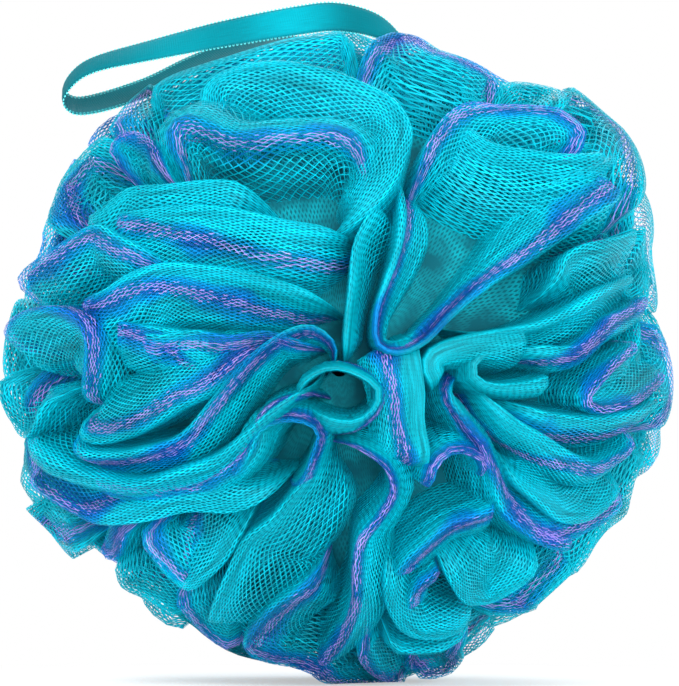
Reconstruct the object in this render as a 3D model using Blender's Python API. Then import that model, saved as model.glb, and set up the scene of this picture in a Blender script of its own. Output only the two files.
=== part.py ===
"""A mesh bath pouf: one long tube of knitted netting, gathered on a tied waist into a ball of
curling folds, with a flat satin ribbon loop to hang it by.

The ball rests on a small flat spot at z = 0. The waist lies along y, so the folds gather towards
the middle of the front (-y) and of the back (+y). All lengths are metres.
"""

import math
import random

import bmesh
import bpy
import numpy as np

MM = 0.001

# Ball of netting
BALL_WIDTH = 132.0 * MM       # left to right
BALL_HEIGHT = 125.5 * MM      # floor to top
BALL_DEPTH = 122.0 * MM       # front to back
FLAT_SAG = 2.5 * MM           # what its own weight presses flat underneath
CORE_DEPTH = 14.0 * MM        # where the folds close up on one another, below the ball's surface
ROOT_DEPTH = 27.0 * MM        # how deep a fold is rooted
FACE_DROP = 6.5 * MM          # how far a fold's broad face falls away from its rim
END_SINK = 11.0 * MM          # how far a fold's ends sink in as they taper off
FRONT_STEP = 5.0 * MM         # from one section of a fold to the next
BACK_STEP = 6.5 * MM
SIDE_STEP = 4.5 * MM
TURNED = 118.0                # degrees between the gathers of the back and of the front
SIDE_FOLDS = 21               # folds round the middle, between front and back
SIDE_HEIGHT = -3.0            # how high those stand above the ball, mm
SEED = 11
MOST_TRIANGLES = 9600

# Waist and the cord tied round it
WAIST_RADIUS = 9.0 * MM
TIE_WIRE = 1.0 * MM           # half the cord's thickness
GAP = 0.3 * MM

# Ribbon
RIBBON_WIDTH = 6.35 * MM
RIBBON_THICK = 0.5 * MM
RIBBON_STATIONS = 64

HALF = np.array([BALL_WIDTH, BALL_DEPTH, BALL_HEIGHT + FLAT_SAG]) / 2
CENTRE = np.array([0.0, 0.0, BALL_HEIGHT - HALF[2]])
NOMINAL = 65.5                # mm, half the width of the ball that the folds were measured on
NOMINAL_UP = 64.0             # mm, half its height

# Folds seen from the front: name, side of the broad face (1 is to the left of the way along the
# rim), width of the face (several where it changes along the rim), roundness of the rim, height
# above the ball, then the rim itself as (x, z) from the middle of the ball. Millimetres on the
# nominal ball.
FRONT_FOLDS = [
    ("top_roll", -1, 9, 1.6, 0.4,
     [(-39, 50), (-34, 55), (-26, 60), (-17, 62), (-8, 63), (1, 64), (5, 63)]),
    ("top_right_roll", -1, 9, 1.2, 0.0,
     [(2, 58), (6, 61), (12, 63), (19, 61), (27, 58), (31, 55), (32, 51)]),
    ("top_right_lump", -1, 6, 1.2, 0.0,
     [(30, 54), (34, 55), (38, 53), (40, 50), (40, 46)]),
    ("right_peak", -1, 8, 1.2, 0.0,
     [(40, 47), (41, 50), (44, 53), (49, 49), (54, 46), (58, 40), (59, 34), (58, 29)]),
    ("under_peak", -1, 4, 1.4, 0.0,
     [(42, 48), (47, 47), (50, 43), (50, 39), (47, 36), (40, 35), (34, 36)]),
    ("shoulder", -1, 7, 1.0, 0.4,
     [(15, 37), (17, 43), (21, 48), (27, 50), (34, 48), (40, 45), (44, 41), (44, 38)]),
    ("shoulder_low", -1, 12, 1.4, -0.4,
     [(21, 46), (24, 47), (29, 43), (36, 40), (43, 38), (49, 38)]),
    ("centre_u", 1, (6, 3, 3, 9, 12), 1.9, 0.6,
     [(12, 43), (12, 31), (11, 23), (9, 17), (7, 11), (7, 5), (11, 3), (16, 5), (21, 10), (28, 16),
      (37, 22), (47, 29), (53, 33), (59, 35)]),
    ("centre_left", 1, 9, 1.0, 0.4,
     [(9, 35), (6, 30), (3, 24), (2, 16), (1, 7), (1, 0)]),
    ("bulge", 1, 10, 3.5, 1.2,
     [(-33, 39), (-31, 44), (-27, 46), (-19, 44), (-10, 45), (-1, 45), (4, 42), (7, 37)]),
    ("bulge_right", 1, 8, 1.4, 0.6,
     [(-4, 27), (4, 29), (10, 35), (12, 40), (13, 45), (10, 50), (4, 53), (-3, 55)]),
    ("left_2", -1, 10, 1.6, -0.4,
     [(-48, 28), (-39, 30), (-29, 31), (-19, 30), (-10, 28), (0, 27), (4, 29)]),
    ("left_3", -1, 10, 1.6, -0.2,
     [(-54, 11), (-46, 14), (-40, 18), (-33, 20), (-21, 19), (-10, 16), (1, 12)]),
    ("left_3_edge", 1, 6, 1.0, 0.2,
     [(-47, 11), (-37, 9), (-27, 8), (-17, 8), (-8, 8), (0, 5)]),
    ("left_4", -1, 7, 1.2, 0.0,
     [(-62, 11), (-60, 17), (-54, 22), (-47, 27), (-42, 25), (-34, 21)]),
    ("upper_left_roll", -1, 9, 1.2, 0.0,
     [(-54, 25), (-56, 30), (-54, 36), (-50, 40), (-46, 43), (-41, 44)]),
    ("upper_left_tongue", -1, 4, 1.0, 0.0,
     [(-43, 38), (-42, 43), (-38, 44), (-35, 42), (-34, 37)]),
    ("upper_left_edge", -1, 8, 1.2, 0.0,
     [(-44, 43), (-42, 47), (-37, 52), (-33, 55)]),
    ("left_1", -1, 7, 1.4, -0.6,
     [(-52, 28), (-46, 30), (-40, 34), (-33, 35), (-23, 36), (-14, 35)]),
    ("pocket", -1, 9, 1.2, 0.4,
     [(-64, 2), (-61, 8), (-55, 11), (-50, 10), (-48, 6), (-48, 1), (-49, -5), (-52, -9)]),
    ("pocket_lower", 1, 10, 1.6, 0.4,
     [(-52, -7), (-51, -11), (-47, -14), (-41, -13), (-35, -10), (-30, -7), (-24, -4), (-17, 2),
      (-11, 6)]),
    ("pocket_tip", -1, 5, 1.0, 0.2,
     [(-54, -3), (-56, -8), (-59, -13), (-63, -10), (-65, -4), (-65, 1)]),
    ("left_low_ridge", -1, 8, 1.2, -1.6,
     [(-46, 9), (-39, 8), (-31, 7), (-21, 4)]),
    ("hairpin", -1, 5, 1.2, 0.8,
     [(-55, -12), (-48, -16), (-39, -16), (-30, -13), (-23, -5), (-17, 2), (-10, 7), (-5, 8),
      (-1, 5), (-1, 1), (-3, -2)]),
    ("hairpin_lower", 1, 5, 1.6, 0.8,
     [(-3, 0), (-5, -3), (-10, -6), (-16, -11), (-23, -17), (-31, -20), (-39, -22), (-48, -20),
      (-55, -16), (-62, -11)]),
    ("eye", 1, 2, 1.0, 0.4,
     [(-9, -8), (-7, -3), (-1, 0), (4, -1), (7, -5), (6, -8), (1, -10), (-3, -9)]),
    ("eye_left", 1, 4, 1.4, 0.0,
     [(-2, -7), (-6, -5), (-11, -6), (-15, -9), (-17, -15), (-21, -19), (-27, -23), (-35, -24),
      (-45, -23), (-52, -20)]),
    ("small_pocket", 1, 4, 1.0, 0.6,
     [(-23, -23), (-18, -18), (-15, -12), (-11, -10), (-7, -10), (-4, -12), (-5, -16), (-7, -21),
      (-11, -25)]),
    ("small_pocket_in", 1, 5, 1.0, -1.6,
     [(-18, -24), (-15, -18), (-11, -15), (-10, -19), (-11, -24)]),
    ("lower_left_3", -1, 5, 1.4, 0.2,
     [(-9, -22), (-14, -25), (-21, -27), (-29, -27), (-37, -29), (-44, -30), (-49, -29),
      (-56, -23), (-61, -17)]),
    ("fan", 1, 9, 1.0, 0.4,
     [(-36, -30), (-38, -32), (-35, -37), (-31, -42), (-29, -43), (-26, -41), (-22, -37),
      (-19, -32), (-17, -28)]),
    ("lower_left_lump", 1, 8, 1.2, 0.0,
     [(-59, -26), (-59, -29), (-56, -33), (-52, -36), (-50, -35)]),
    ("lower_left_lump_2", 1, 6, 1.2, 0.0,
     [(-49, -36), (-45, -38), (-43, -36), (-41, -31)]),
    ("lower_left_edge", 1, 7, 1.2, 0.0,
     [(-46, -37), (-44, -40), (-43, -44), (-39, -46), (-34, -49), (-29, -51)]),
    ("lower_left_4", 1, 8, 1.2, 0.0,
     [(-33, -44), (-31, -48), (-28, -52), (-23, -55), (-18, -56)]),
    ("cup_left", 1, 14, 1.0, 0.6,
     [(-1, -15), (-4, -18), (-8, -23), (-13, -29), (-18, -33), (-21, -39), (-24, -46), (-26, -53)]),
    ("cup", 1, 7, 1.4, 0.8,
     [(-3, -16), (1, -15), (5, -16), (9, -19), (10, -24), (7, -29), (4, -33), (3, -39), (3, -44),
      (1, -50), (-3, -57), (-5, -61)]),
    ("cup_floor", 1, 9, 1.6, -0.6,
     [(-2, -41), (-7, -43), (-13, -47), (-17, -52), (-19, -57)]),
    ("band_down", -1, 9, 1.6, 0.2,
     [(12, 3), (14, -4), (15, -10), (16, -15), (16, -21)]),
    ("small_right", 1, 8, 1.2, 0.2,
     [(28, 6), (21, 5), (17, 3), (17, -1), (21, -3)]),
    ("strap", 1, 5, 1.4, 0.8,
     [(26, -1), (22, -3), (21, -6), (24, -11), (27, -15), (29, -21), (31, -27), (36, -32),
      (42, -35), (49, -35)]),
    ("dark_hole", 1, 4, 1.4, 0.2,
     [(17, -25), (18, -19), (21, -16), (24, -16), (27, -18), (28, -23)]),
    ("lens_lower", -1, 5, 1.7, 0.4,
     [(22, 9), (27, 7), (36, 8), (44, 11), (51, 15), (61, 19)]),
    ("lens_right", 1, 9, 1.2, 0.0,
     [(59, 26), (51, 24), (47, 23), (45, 18), (42, 13)]),
    ("right_3", -1, 4, 1.2, 0.2,
     [(31, 3), (38, 4), (45, 4), (52, 9), (59, 12), (64, 15)]),
    ("lip", 1, 4, 1.2, -0.2,
     [(44, -1), (35, -3), (29, -3), (26, -1), (27, 2), (32, 4), (40, 6)]),
    ("right_loop", 1, 5, 1.6, 0.6,
     [(62, 6), (58, 4), (53, 1), (49, -3), (47, -6), (49, -8), (52, -8), (58, -6), (65, 0)]),
    ("right_4", -1, 6, 1.4, -0.6,
     [(32, -6), (40, -9), (49, -10), (56, -9), (64, -6)]),
    ("strap_right", -1, 5, 1.7, 0.8,
     [(27, -2), (29, -6), (33, -10), (38, -13), (44, -17), (50, -19), (55, -17), (60, -12)]),
    ("pocket_right", -1, 5, 1.4, 0.4,
     [(58, -20), (56, -24), (52, -28), (47, -30), (42, -29), (37, -25), (33, -21), (33, -16)]),
    ("right_5", 1, 5, 1.2, 0.0,
     [(35, -31), (42, -34), (49, -32), (55, -29), (59, -23)]),
    ("lower_right_edge", -1, 7, 1.2, 0.0,
     [(61, -15), (62, -18), (59, -22), (58, -26), (57, -30), (52, -33), (47, -40), (40, -46)]),
    ("right_edge", -1, 6, 1.2, 0.0,
     [(62, 11), (64, 7), (65, 2), (65, -7), (64, -12), (61, -15)]),
    ("right_edge_top", -1, 8, 1.2, 0.0,
     [(57, 28), (60, 26), (61, 22), (62, 19), (62, 12)]),
    ("low_stripe", 1, 7, 1.6, 0.2,
     [(33, -26), (27, -28), (21, -30), (16, -34), (12, -38), (11, -43)]),
    ("tongue", 1, 10, 1.2, 0.6,
     [(19, -36), (22, -42), (25, -46), (29, -47), (33, -44), (37, -40), (41, -35)]),
    ("left_of_tongue", -1, 4, 1.0, -0.6,
     [(13, -49), (14, -44), (17, -41), (21, -39)]),
    ("bottom_fold", 1, 5, 1.4, 0.0,
     [(10, -36), (9, -42), (10, -47), (13, -51), (19, -52), (29, -52)]),
    ("bottom_right_edge", -1, 7, 1.2, 0.0,
     [(49, -37), (43, -43), (39, -47), (38, -49), (31, -51), (27, -53)]),
    ("bottom_right_edge_2", -1, 6, 1.2, 0.0,
     [(29, -52), (24, -56), (24, -58), (20, -61), (13, -61)]),
    ("bottom_edge", -1, 8, 1.2, 0.0,
     [(16, -61), (11, -63), (4, -63), (-3, -62), (-6, -60), (-12, -59), (-17, -57), (-23, -56)]),
    ("bottom_ripple", -1, 3, 1.2, -0.4,
     [(8, -54), (13, -55), (19, -55), (28, -53)]),
    ("bottom_ripple_2", 1, 4, 1.0, -0.4,
     [(6, -53), (4, -56), (7, -60), (11, -62)]),
]
# Folds whose face falls at once and then runs level, as a cupped sheet does
HOLLOW = ("cup_left", "centre_u", "pocket", "hairpin", "left_2", "left_3", "shoulder", "lens_lower",
          "right_loop", "cup_floor", "fan", "small_pocket", "dark_hole", "pocket_lower", "top_roll")
GATHER = (11.0, -1.0)         # the point of the front that the folds run to, mm


def clear_scene():
    for obj in list(bpy.data.objects):
        bpy.data.objects.remove(obj, do_unlink=True)


def material(name, colour, roughness):
    made = bpy.data.materials.new(name)
    made.use_nodes = True
    shader = made.node_tree.nodes["Principled BSDF"]
    shader.inputs["Base Color"].default_value = (*colour, 1.0)
    shader.inputs["Roughness"].default_value = roughness
    shader.inputs["Metallic"].default_value = 0.0
    return made


def unit(v):
    return v / np.maximum(np.linalg.norm(v, axis=-1, keepdims=True), 1e-12)


def seen_from_front(x, z):
    """A point of the unit ball, pushed out where the outline itself bulges."""
    u, v = x / NOMINAL, z / NOMINAL_UP
    rho = max(math.hypot(u, v), 1e-6)
    polar = min(math.asin(min(rho, 0.995)), math.radians(84.0))
    return np.array([u, -rho * math.cos(polar) / math.sin(polar), v])


def smooth_path(points, count):
    """Catmull-Rom curve through the points, at even steps along its length."""
    p = np.asarray(points, float)
    p = np.vstack([2 * p[0] - p[1], p, 2 * p[-1] - p[-2]])
    fine = []
    for i in range(1, len(p) - 2):
        for t in np.linspace(0.0, 1.0, 12, endpoint=False):
            a, b, c, d = p[i - 1], p[i], p[i + 1], p[i + 2]
            fine.append(0.5 * (2 * b + (c - a) * t + (2 * a - 5 * b + 4 * c - d) * t * t
                               + (3 * b - a - 3 * c + d) * t ** 3))
    fine.append(p[-2])
    fine = np.array(fine)
    run = np.concatenate([[0.0], np.cumsum(np.linalg.norm(np.diff(fine, axis=0), axis=1))])
    at = np.linspace(0.0, run[-1], count)
    return np.stack([np.interp(at, run, fine[:, k]) for k in range(fine.shape[1])], axis=1)


def mesh_object(name, rows, made_of=None):
    """A closed tube through rings of points, capped at both ends."""
    rings, around = len(rows), len(rows[0])
    verts = [tuple(v) for row in rows for v in row]
    faces = [tuple(reversed(range(around))),
             tuple((rings - 1) * around + k for k in range(around))]
    for i in range(rings - 1):
        for k in range(around):
            m = (k + 1) % around
            faces.append((i * around + k, i * around + m,
                          (i + 1) * around + m, (i + 1) * around + k))
    mesh = bpy.data.meshes.new(name)
    mesh.from_pydata(verts, [], faces)
    bm = bmesh.new()
    bm.from_mesh(mesh)
    bmesh.ops.triangulate(bm, faces=bm.faces[:])
    bmesh.ops.recalc_face_normals(bm, faces=bm.faces[:])
    if bm.calc_volume(signed=True) < 0:
        bmesh.ops.reverse_faces(bm, faces=bm.faces[:])
    bm.to_mesh(mesh)
    bm.free()
    obj = bpy.data.objects.new(name, mesh)
    if made_of:
        mesh.materials.append(made_of)
    bpy.context.scene.collection.objects.link(obj)
    return obj


def room_beside(path, side):
    """How far each station may spread to that side before a bend makes it cross itself."""
    step = np.gradient(path, axis=0)
    ahead = unit(step)
    turn = np.gradient(ahead, axis=0) / np.linalg.norm(step, axis=1, keepdims=True)
    left = np.cross(unit(path), ahead)
    bend = np.einsum("ij,ij->i", turn, left) * side
    room = np.where(bend > 1e-3, 0.8 / np.maximum(bend, 1e-3), 9.0)
    for _ in range(4):
        room = np.minimum(room, (np.roll(room, 1) + np.roll(room, -1)) / 2 + 0.02)
    return room


def ripple(seed, *at):
    """A smooth wander between -1 and 1, different for each seed."""
    rng = random.Random(seed)
    total = 0.0
    for _ in range(4):
        waves = sum(a * rng.uniform(-1, 1) for a in at)
        total = total + np.sin(waves + rng.uniform(0, 6.3))
    return total / 2.6


def smooth_step(low, high, value):
    t = np.clip((value - low) / (high - low), 0.0, 1.0)
    return t * t * (3 - 2 * t)


def fold(number, side, face, rim, height, points, pole, step, hollow=False):
    """One fold of the netting: a thin rim with a broad face on one side, a wall on the other."""
    rough = smooth_path(points, 60)
    length = np.linalg.norm(np.diff(rough, axis=0), axis=1).sum() * NOMINAL
    count = max(8, int(round(length * MM / step)))
    path = smooth_path(points, count)
    out, reach = unit(path), np.linalg.norm(path, axis=1)
    ahead = unit(np.gradient(path, axis=0))
    left = unit(np.cross(out, ahead)) * side
    s = np.linspace(0.0, 1.0, count)
    run, ends = s * length, np.minimum(s, 1 - s)

    # thin and steep by the gather, broad further out
    far = smooth_step(6, 40, np.degrees(np.arccos(np.clip(out @ pole, -1, 1))))
    slim = 0.2 + 0.8 * smooth_step(0, 0.16, ends)
    r = rim * (0.36 + 0.24 * far) * slim
    f = np.interp(s, np.linspace(0, 1, np.size(face)), np.atleast_1d(face))
    d = FACE_DROP / MM * (1.2 - 0.35 * far) * np.minimum(1.0, 0.4 + f / 8)
    f = f * (0.6 + 0.5 * far) * slim
    lean = (0.8 + 1.3 * ripple(number * 7 + 3, run * 0.07)) * (0.4 + 0.6 * far)
    limb = 1 - smooth_step(0.3, 0.6, np.abs(out[:, 1]))
    full = (0.85 if hollow else 1.5 - 0.6 * limb) * 2.0 ** (0.9 * ripple(number * 7 + 4, run * 0.06))
    core, root = CORE_DEPTH / MM, ROOT_DEPTH / MM + 0 * r
    section = [(-(r + lean) - 0.8, root), (-(r + 0.5 * lean), 7 + 0 * r),
               (-0.95 * r, r + 0.3), (0.1 * r, 0 * r), (0.8 * r, 0.12 * r)]
    section += [(r + q * f, 0.15 * r + d * q ** full) for q in (0.3, 0.6, 0.9)]
    section += [(r + 1.06 * f, 1.5 * d), (r + f, root)]
    section = np.stack([np.stack(pair, -1) for pair in section], axis=1)
    across, depth = section[..., 0], section[..., 1]
    broad = smooth_step(0.5, 5.0, across - r[:, None])
    bow = ripple(number * 7 + 1, run[:, None] * 0.12, across * 0.22)
    sunk = END_SINK / MM * np.clip(1.0 - ends / 0.16, 0, 1) ** 2
    wander = 0.6 * ripple(number * 7, run * 0.14) - height
    shallow = depth < core
    depth = depth + shallow * (sunk + wander)[:, None] + shallow * bow * broad
    before, after = room_beside(path, -side), room_beside(path, side)
    angle = np.clip(across / NOMINAL, -before[:, None], after[:, None])
    aim = out[:, None] * np.cos(angle)[..., None] + left[:, None] * np.sin(angle)[..., None]
    level = reach[:, None] * (1.0 - depth / NOMINAL)
    edge = 1 - smooth_step(0.25, 0.55, np.abs(aim[..., 1]))
    level = level - 0.8 * edge * np.maximum(level - 0.99, 0)
    return mesh_object("fold_%d" % number, CENTRE + HALF * aim * level[..., None])


def turned_to_back(p):
    """The same gather seen on the back, turned round the waist."""
    a = math.radians(TURNED)
    x, z = p[0] * math.cos(a) - p[2] * math.sin(a), p[0] * math.sin(a) + p[2] * math.cos(a)
    return np.array([-x, -p[1], z])


def every_fold():
    """All the folds: front, back, and the ones that run between them round the sides."""
    made = []
    front_pole = unit(seen_from_front(*GATHER))
    back_pole = turned_to_back(front_pole)
    for number, (name, side, face, rim, height, points) in enumerate(FRONT_FOLDS):
        path = [seen_from_front(x, z) for x, z in points]
        behind = [turned_to_back(p) for p in path]
        hollow = name in HOLLOW
        made.append(fold(number, side, face, rim, height, path, front_pole, FRONT_STEP, hollow))
        made.append(fold(100 + number, side, face, rim, height, behind, back_pole, BACK_STEP,
                         hollow))
    rng = random.Random(SEED)
    for k in range(SIDE_FOLDS):
        around = 2 * math.pi * (k + 0.3 * rng.uniform(-1, 1)) / SIDE_FOLDS
        swing, phase = math.radians(rng.uniform(5, 11)), rng.uniform(0, 2 * math.pi)
        start, curl = rng.uniform(62, 78), rng.uniform(0.75, 1.0)
        path = []
        for j in range(8):
            polar = math.radians(start + 8.0 * j)
            turn = around + swing * math.sin(phase + curl * j)
            path.append(np.array([math.sin(polar) * math.cos(turn), -math.cos(polar),
                                  math.sin(polar) * math.sin(turn)]))
        face, rim = rng.uniform(10, 14), rng.uniform(1.1, 1.8)
        made.append(fold(300 + k, 1 if k % 3 else -1, face, rim, SIDE_HEIGHT, path, front_pole,
                         SIDE_STEP))
    return made


def combine(target, operation, others):
    """Joins or cuts the others with the target, and keeps the result as the target's mesh."""
    helpers = bpy.data.collections.new("helpers")
    bpy.context.scene.collection.children.link(helpers)
    for other in others:
        other.hide_render = True
        other.display_type = "WIRE"
        helpers.objects.link(other)
        bpy.context.scene.collection.objects.unlink(other)
    change = target.modifiers.new("combine", "BOOLEAN")
    change.solver = "MANIFOLD"
    change.operation = operation
    change.operand_type = "COLLECTION"
    change.collection = helpers
    bpy.context.view_layer.update()
    graph = bpy.context.evaluated_depsgraph_get()
    result = bpy.data.meshes.new_from_object(target.evaluated_get(graph))
    target.modifiers.remove(change)
    target.data = result
    for other in list(helpers.objects):
        bpy.data.objects.remove(other, do_unlink=True)
    bpy.data.collections.remove(helpers)


def keep_outer_shell(obj):
    """Closes up the pockets that the folds shut in, so that the netting is one body."""
    bm = bmesh.new()
    bm.from_mesh(obj.data)
    bmesh.ops.triangulate(bm, faces=bm.faces[:])
    seen, shells = set(), []
    for start in bm.verts:
        if start in seen:
            continue
        shell, todo = [], [start]
        seen.add(start)
        while todo:
            vert = todo.pop()
            shell.append(vert)
            for edge in vert.link_edges:
                other = edge.other_vert(vert)
                if other not in seen:
                    seen.add(other)
                    todo.append(other)
        shells.append(shell)
    shells.sort(key=len)
    bmesh.ops.delete(bm, geom=[v for shell in shells[:-1] for v in shell], context="VERTS")
    bm.to_mesh(obj.data)
    bm.free()


def thin_out(obj):
    """Drops the triangles that the shape needs least."""
    change = obj.modifiers.new("thin_out", "DECIMATE")
    change.ratio = min(1.0, MOST_TRIANGLES / len(obj.data.polygons))
    change.use_collapse_triangulate = True
    bpy.context.view_layer.update()
    graph = bpy.context.evaluated_depsgraph_get()
    result = bpy.data.meshes.new_from_object(obj.evaluated_get(graph))
    obj.modifiers.remove(change)
    obj.data = result


def ball_core():
    rows = []
    level = 1.0 - CORE_DEPTH / HALF[0]
    for i in range(1, 18):
        polar = math.pi * i / 18
        rows.append([CENTRE + HALF * level * np.array([
            math.sin(polar) * math.cos(turn), -math.cos(polar), math.sin(polar) * math.sin(turn)])
            for turn in np.linspace(0, 2 * math.pi, 28, endpoint=False)])
    return mesh_object("netting", rows)


def ring(name, wire, around=32, sides=8, made_of=None):
    """A ring of cord round the waist, which lies along y."""
    major = WAIST_RADIUS + GAP + TIE_WIRE
    verts, faces = [], []
    for i in range(around):
        a = 2 * math.pi * i / around
        for k in range(sides):
            b = 2 * math.pi * k / sides
            r = major + wire * math.cos(b)
            verts.append(tuple(CENTRE + np.array([r * math.cos(a), wire * math.sin(b),
                                                  r * math.sin(a)])))
            n, m = (i + 1) % around, (k + 1) % sides
            faces.append((i * sides + k, n * sides + k, n * sides + m, i * sides + m))
    mesh = bpy.data.meshes.new(name)
    mesh.from_pydata(verts, [], faces)
    bm = bmesh.new()
    bm.from_mesh(mesh)
    bmesh.ops.recalc_face_normals(bm, faces=bm.faces[:])
    bm.to_mesh(mesh)
    bm.free()
    if made_of:
        mesh.materials.append(made_of)
    obj = bpy.data.objects.new(name, mesh)
    bpy.context.scene.collection.objects.link(obj)
    return obj


def ribbon_path():
    """Middle line of the ribbon with the way its width points: from the waist, up, round, back."""
    root = WAIST_RADIUS / MM + 2 * GAP / MM + 2 * TIE_WIRE / MM
    up, tilt = (1, 0, 0), (0, 0.84, 0.54)
    stops = [  # x, y, z from the middle of the ball, then the direction of the width
        ((0, -0.9, root), up), ((1, -1.6, 26), up), ((4, -1.8, 42), up),
        ((9, -2.0, 54), (0.6, 0.75, 0)), ((11.8, -3.0, 61), (0.25, 0.95, 0.1)),
        ((8.3, -5.0, 66), (0.1, 0.6, 0.8)), ((0, -7.5, 67.8), (0, 0.1, 1)),
        ((-8, -9, 67.3), (0, 0.1, 1)), ((-23, -10, 64.0), (0, 0.35, 0.95)),
        ((-37, -9, 60.5), (0, 0.7, 0.7)), ((-46.5, -8, 58.5), tilt), ((-51.5, -6.8, 56.0), tilt),
        ((-53.3, -5.0, 53.0), tilt), ((-51, -3.9, 51.6), tilt), ((-46.5, -3.0, 52.2), tilt),
        ((-37, 1, 56.6), tilt), ((-28, 5, 60), tilt), ((-18.4, 8.5, 62.8), tilt),
        ((-8, 8.5, 63.5), (0.2, 0.9, 0.3)), ((1, 5.5, 58), (0.8, 0.6, 0)), ((3, 2.2, 46), up),
        ((2, 1.6, 28), up), ((0, 0.9, root), up)]
    scale = HALF[0] / NOMINAL
    joined = np.array([list(np.array(p) * scale) + list(w) for p, w in stops])
    joined[0, 2] = joined[-1, 2] = root * MM
    line = smooth_path(joined[:, :3], RIBBON_STATIONS)
    run = np.concatenate([[0], np.cumsum(np.linalg.norm(np.diff(joined[:, :3], axis=0), axis=1))])
    at = np.linspace(0, run[-1], RIBBON_STATIONS)
    width = np.stack([np.interp(at, run, joined[:, 3 + k]) for k in range(3)], axis=1)
    ahead = unit(np.gradient(line, axis=0))
    width = unit(width - ahead * np.einsum("ij,ij->i", width, ahead)[:, None])
    return line + CENTRE, width, unit(np.cross(ahead, width))


def ribbon(name, extra=0.0, longer=0.0, made_of=None):
    line, width, across = ribbon_path()
    line = line.copy()
    line[0] -= [0, 0, longer]
    line[-1] -= [0, 0, longer]
    w, t = RIBBON_WIDTH / 2 + extra, RIBBON_THICK / 2 + extra
    rows = [[p + w * a + t * b, p - w * a + t * b, p - w * a - t * b, p + w * a - t * b]
            for p, a, b in zip(line, width, across)]
    return mesh_object(name, rows, made_of)


def floor_block():
    side = 3 * BALL_WIDTH
    rows = [[(-side, y, -side), (side, y, -side), (side, y, 0.0), (-side, y, 0.0)]
            for y in (-side, side)]
    return mesh_object("floor_block", rows)


def main():
    clear_scene()
    netting = material("knitted nylon net", (0.0, 0.39, 0.45), 0.45)
    cord = material("nylon cord", (0.0, 0.21, 0.25), 0.6)
    satin = material("satin ribbon", (0.0, 0.32, 0.38), 0.32)

    # The netting: its folds grow out of the middle, with the way for the tie and ribbon left open
    ball = ball_core()
    combine(ball, "UNION", every_fold())
    keep_outer_shell(ball)
    thin_out(ball)
    combine(ball, "DIFFERENCE", [floor_block()])
    combine(ball, "DIFFERENCE", [ring("tie_room", TIE_WIRE + GAP)])
    combine(ball, "DIFFERENCE", [ribbon("ribbon_room", GAP, 1.2 * MM)])
    keep_outer_shell(ball)
    ball.data.materials.clear()
    ball.data.materials.append(netting)

    # The cord that ties the waist
    ring("centre_tie", TIE_WIRE, made_of=cord)

    # The ribbon loop to hang it by
    ribbon("hanging_ribbon", made_of=satin)
    print("netting triangles", len(ball.data.polygons))


main()
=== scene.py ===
import math
import random

import bpy
import numpy as np
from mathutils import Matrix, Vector


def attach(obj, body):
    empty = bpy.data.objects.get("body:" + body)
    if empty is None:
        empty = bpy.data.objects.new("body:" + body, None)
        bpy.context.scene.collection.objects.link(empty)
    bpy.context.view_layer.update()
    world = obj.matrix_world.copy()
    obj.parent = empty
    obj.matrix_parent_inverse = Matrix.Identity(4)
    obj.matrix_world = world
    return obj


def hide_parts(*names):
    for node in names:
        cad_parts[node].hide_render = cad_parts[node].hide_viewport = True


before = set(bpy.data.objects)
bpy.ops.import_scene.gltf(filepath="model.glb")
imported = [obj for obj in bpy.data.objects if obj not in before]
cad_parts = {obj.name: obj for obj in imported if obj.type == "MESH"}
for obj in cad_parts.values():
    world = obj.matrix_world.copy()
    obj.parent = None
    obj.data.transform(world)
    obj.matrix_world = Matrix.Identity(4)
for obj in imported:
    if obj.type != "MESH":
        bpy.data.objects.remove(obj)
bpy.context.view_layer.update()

# Camera. The pouf is seen square on to its front gather, level with its middle, from far enough
# that the ball's edge is nearly its true outline. The frame is 134 mm high.
MM = 0.001
camera = bpy.data.objects.new("camera", bpy.data.cameras.new("camera"))
bpy.context.scene.collection.objects.link(camera)
bpy.context.scene.camera = camera
VIEW_HEIGHT = 133.6 * MM
VIEW_FROM = 2.2
VIEW_UP = math.radians(0.4)
aim = Vector((0.0, 0.0, 66.0 * MM))
camera.location = aim + Vector((0.0, -math.cos(VIEW_UP), math.sin(VIEW_UP))) * VIEW_FROM
camera.rotation_euler = (aim - camera.location).to_track_quat("-Z", "Y").to_euler()
camera.data.sensor_width = 36.0
camera.data.lens = 36.0 * VIEW_FROM / VIEW_HEIGHT
camera.data.clip_start = 0.01


# Netting. It is one long tube of knitted net, gathered on its waist so that it opens out into
# curling folds on both sides. Each fold is a sheet that climbs a steep wall, turns over a rounded
# rim and falls away in a broad face which goes under the next fold's rim.
BALL_HALF = np.array([66.0, 61.5, 64.0]) * MM
BALL_CENTRE = np.array([0.0, 0.0, 61.5]) * MM
MEASURED = 65.5             # mm, half the width of the ball that the folds were picked on
MEASURED_UP = 64.0          # mm, half its height
PICKED_MIDDLE = (340, 361)  # pixel of the photograph at the middle of the ball
MM_PER_PIXEL = 131 / 675    # the ball is 131 mm and 675 pixels wide
FACE_DROP = 6.5             # mm, how far a broad face falls away from its rim
END_SINK = 11.0             # mm, how far a fold's ends sink in as they taper off
END_SHARE = 0.16            # the share of the rim over which each end tapers off
THIN_UP_TO, FULL_FROM = 6, 40       # degrees from the gather, where folds are thin and where full
UNDER_BY = 1.3              # mm, from one thickness of net to the next inside it
CORE_DEPTH = 13.0           # mm, where the folds close up on one another
GATHER = (11.0, -1.0)       # mm from the ball's middle, where the folds of the front run to
CELL_LONG = 2.3             # mm, one opening of the net along the tube
CELL_WIDE = 0.58            # mm, across it where it is drawn together
CELL_OPEN = 0.95            # mm, across it where it is stretched a little
THREAD = 0.22               # mm
STRIPE_EVERY = 44           # openings, from one purple stripe of the tube to the next
STRIPE_CELL = 0.62          # mm, one opening across a stripe, whose threads are finer

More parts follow.
